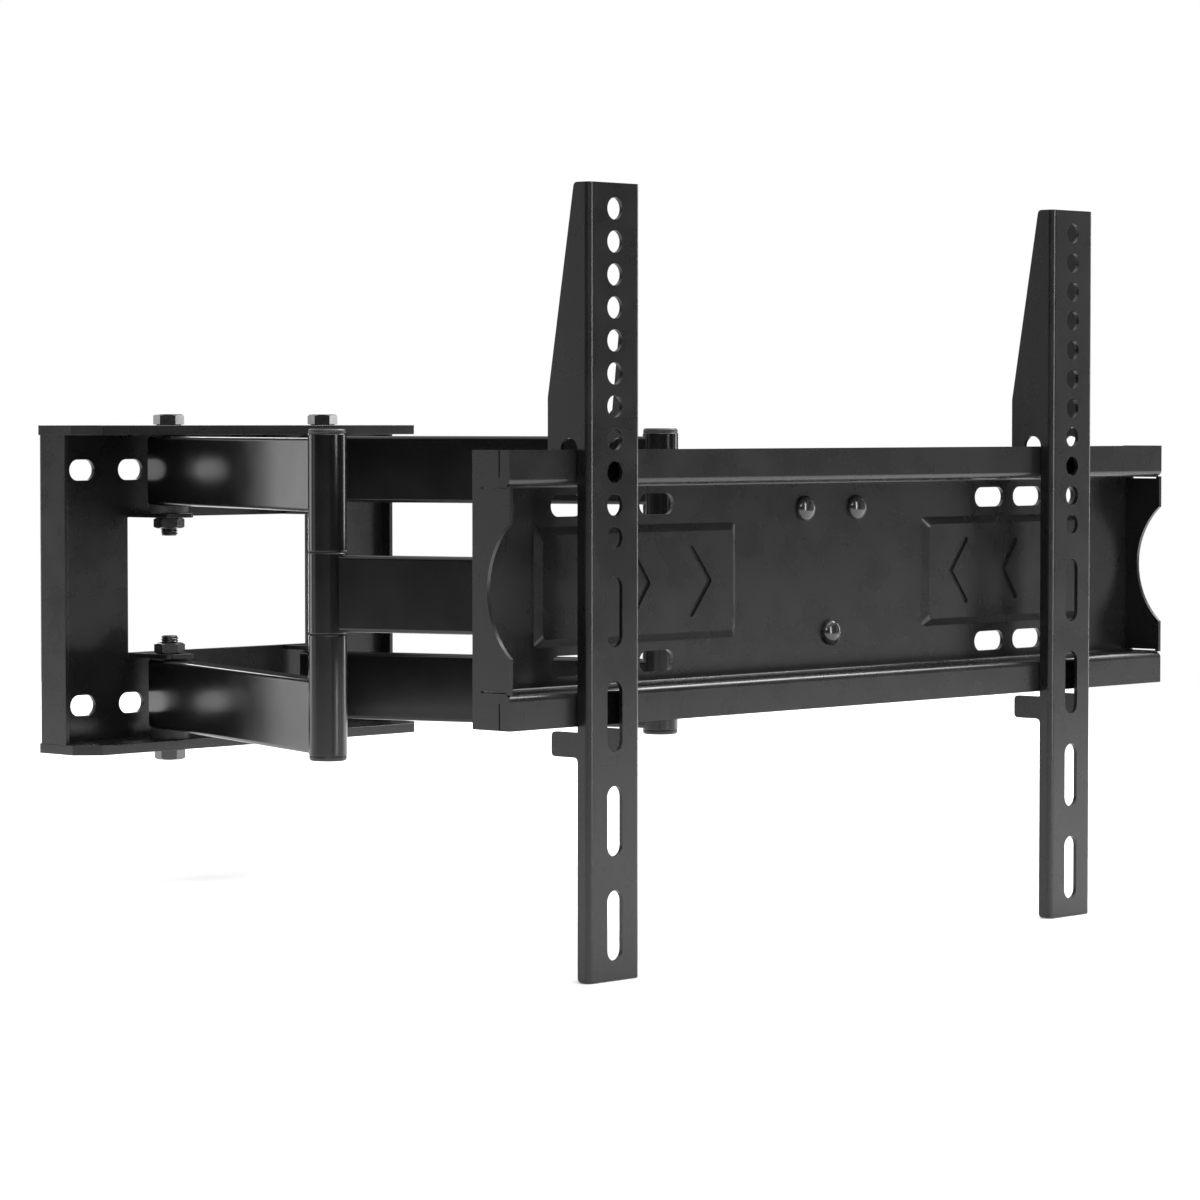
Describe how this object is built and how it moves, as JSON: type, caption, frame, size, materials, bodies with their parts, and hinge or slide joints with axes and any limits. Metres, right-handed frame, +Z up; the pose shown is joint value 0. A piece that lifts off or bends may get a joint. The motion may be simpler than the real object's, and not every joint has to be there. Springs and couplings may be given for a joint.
{
  "type": "full motion television wall mount",
  "caption": "Black steel television wall mount: slotted wall plate, folding double arms, tilt and swivel head, wide plate and upright brackets.",
  "frame": {"origin": "centre of the wall panel's back face, which lies on the wall", "axes": "+Z up, +X to the right along the wall when facing it, -Y out of the wall towards the viewer"},
  "size_m": [0.608, 0.5881, 0.445],
  "materials": {
    "satin_black_steel": "satin",
    "gloss_black_steel": "gloss",
    "black_fasteners": "gloss",
    "black_plastic": "satin",
    "nylon": "matte"
  },
  "bodies": {
    "wall_plate": {"wall_panel": "satin_black_steel", "wall_top_plate": "satin_black_steel", "wall_bottom_plate": "satin_black_steel", "shoulder_bolts": "black_fasteners", "shoulder_nuts": "black_fasteners", "shoulder_spacers": "nylon"},
    "left_rear_arm": {"left_rear_upper_tube": "gloss_black_steel", "left_rear_lower_tube": "gloss_black_steel", "left_elbow_upper_barrel": "gloss_black_steel", "left_elbow_lower_barrel": "gloss_black_steel", "left_elbow_pin": "black_fasteners", "left_elbow_rear_bushes": "nylon", "left_elbow_caps": "black_plastic", "left_shoulder_sleeves": "nylon"},
    "left_front_arm": {"left_front_tube": "gloss_black_steel", "left_elbow_middle_barrel": "gloss_black_steel", "left_elbow_middle_bush": "nylon", "left_elbow_washers": "nylon", "left_head_barrel": "gloss_black_steel", "left_head_bush": "nylon"},
    "right_rear_arm": {"right_rear_upper_tube": "gloss_black_steel", "right_rear_lower_tube": "gloss_black_steel", "right_elbow_upper_barrel": "gloss_black_steel", "right_elbow_lower_barrel": "gloss_black_steel", "right_elbow_pin": "black_fasteners", "right_elbow_rear_bushes": "nylon", "right_elbow_caps": "black_plastic", "right_shoulder_sleeves": "nylon"},
    "right_front_arm": {"right_front_tube": "gloss_black_steel", "right_elbow_middle_barrel": "gloss_black_steel", "right_elbow_middle_bush": "nylon", "right_elbow_washers": "nylon", "right_head_barrel": "gloss_black_steel", "right_head_bush": "nylon"},
    "head": {"head_yoke": "satin_black_steel", "head_pivot_bolts": "black_fasteners", "head_pivot_nuts": "black_fasteners", "head_pivot_washers": "nylon", "swivel_pin": "black_fasteners", "swivel_nut": "black_fasteners"},
    "swivel_head": {"swivel_barrel": "satin_black_steel", "tilt_bolts": "black_fasteners"},
    "tv_plate": {"tilt_bracket": "satin_black_steel", "tv_plate": "satin_black_steel", "tv_plate_bolts": "black_fasteners"},
    "left_bracket": {"left_tv_bracket": "satin_black_steel"},
    "right_bracket": {"right_tv_bracket": "satin_black_steel"}
  },
  "joints": [
    {"name": "left_shoulder", "type": "hinge", "parent": "wall_plate", "child": "left_rear_arm", "pos_m": [-0.071, -0.0315, 0], "axis": [0, 0, -1], "range_deg": [-14, 58]},
    {"name": "left_elbow", "type": "hinge", "parent": "left_rear_arm", "child": "left_front_arm", "pos_m": [-0.15382, -0.27479, 0], "axis": [0, 0, 1], "range_deg": [-28, 116]},
    {"name": "left_head_pivot", "type": "hinge", "parent": "left_front_arm", "child": "head", "pos_m": [-0.071, -0.51808, 0], "axis": [0, 0, -1], "range_deg": [-14, 58]},
    {"name": "right_shoulder", "type": "hinge", "parent": "wall_plate", "child": "right_rear_arm", "pos_m": [0.071, -0.0315, 0], "axis": [0, 0, 1], "range_deg": [-14, 58]},
    {"name": "right_elbow", "type": "hinge", "parent": "right_rear_arm", "child": "right_front_arm", "pos_m": [0.15382, -0.27479, 0], "axis": [0, 0, -1], "range_deg": [-28, 116]},
    {"name": "head_swivel", "type": "hinge", "parent": "head", "child": "swivel_head", "pos_m": [0, -0.53308, 0], "axis": [0, 0, 1], "range_deg": [-10, 10]},
    {"name": "tilt", "type": "hinge", "parent": "swivel_head", "child": "tv_plate", "pos_m": [0, -0.53308, 0.005], "axis": [1, 0, 0], "range_deg": [-5, 10]},
    {"name": "left_bracket_slide", "type": "slide", "parent": "tv_plate", "child": "left_bracket", "axis": [1, 0, 0], "range_m": [-0.045, 0.13]},
    {"name": "right_bracket_slide", "type": "slide", "parent": "tv_plate", "child": "right_bracket", "axis": [1, 0, 0], "range_m": [-0.095, 0.08]}
  ],
  "couplings": [
    {"joint": "left_elbow", "follows": "left_shoulder", "ratio": 2},
    {"joint": "left_head_pivot", "follows": "left_shoulder", "ratio": 1},
    {"joint": "right_shoulder", "follows": "left_shoulder", "ratio": 1},
    {"joint": "right_elbow", "follows": "left_shoulder", "ratio": 2}
  ]
}
